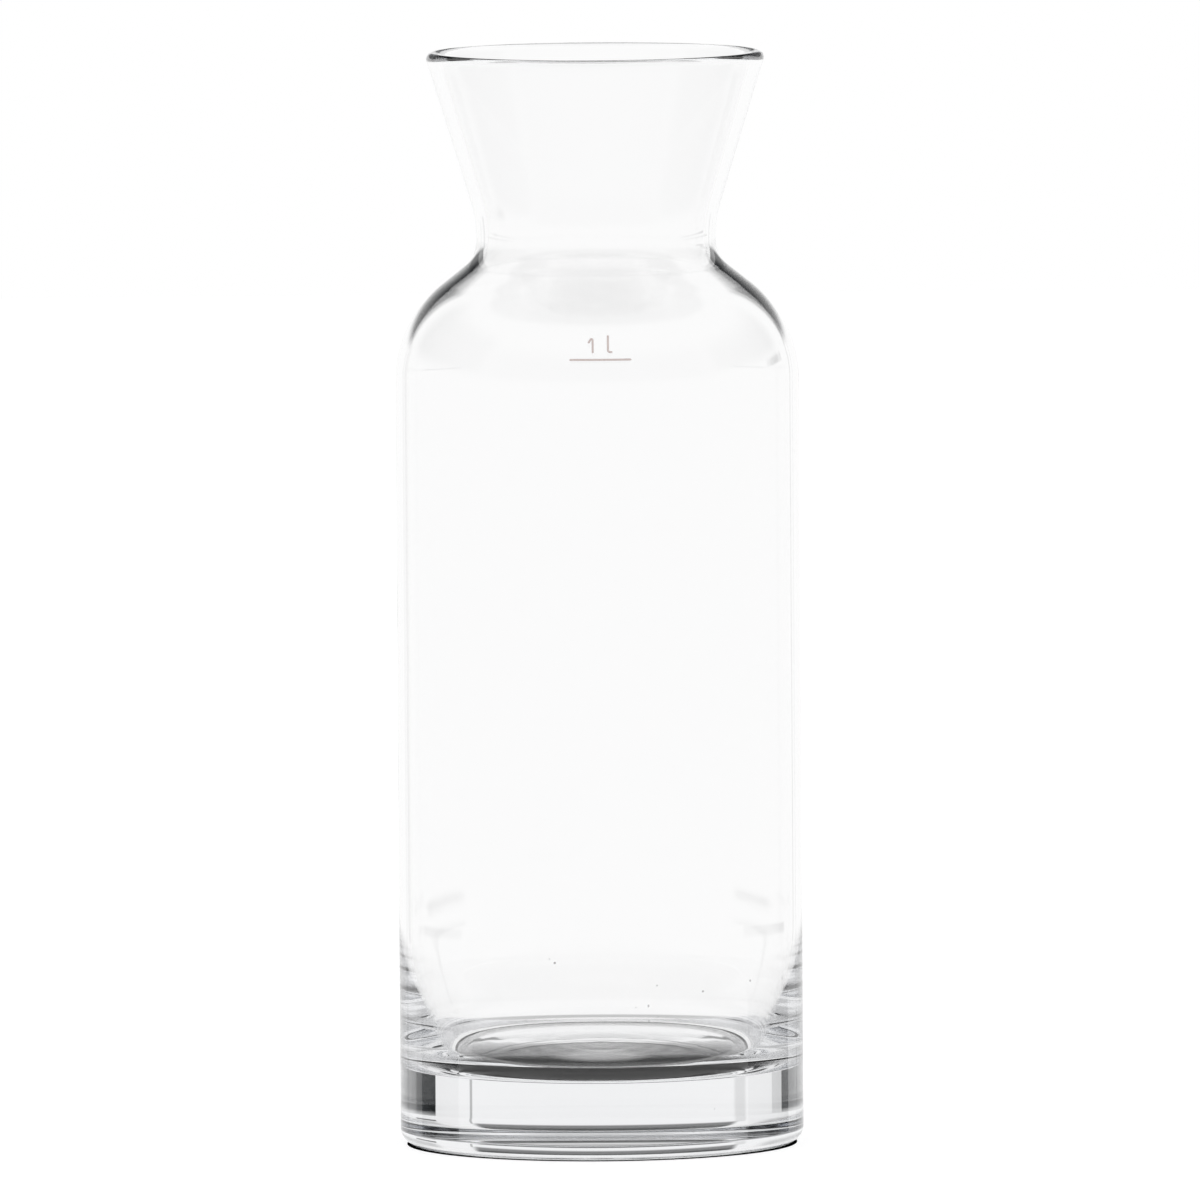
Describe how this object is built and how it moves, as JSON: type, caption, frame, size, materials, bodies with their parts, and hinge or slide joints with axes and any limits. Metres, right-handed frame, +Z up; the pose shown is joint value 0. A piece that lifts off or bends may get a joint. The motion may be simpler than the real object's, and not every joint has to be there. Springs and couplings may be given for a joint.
{
  "type": "water carafe",
  "caption": "Clear glass carafe with a thick base, straight side, round shoulder, waisted neck and flared mouth, and a fill line on the shoulder.",
  "frame": {"origin": "centre of the ring that the carafe stands on, at the height of the table", "axes": "+Z up along the axis of the glass; the capacity mark faces -Y, with +X to its right"},
  "size_m": [0.093, 0.093, 0.252],
  "materials": {
    "clear_glass": "polished clear soda-lime glass",
    "grey_enamel": "thin fired enamel print, satin"
  },
  "bodies": {
    "root": {"glass_body": "clear_glass", "fill_line": "grey_enamel", "capacity_numeral": "grey_enamel", "unit_letter": "grey_enamel"}
  },
  "joints": []
}
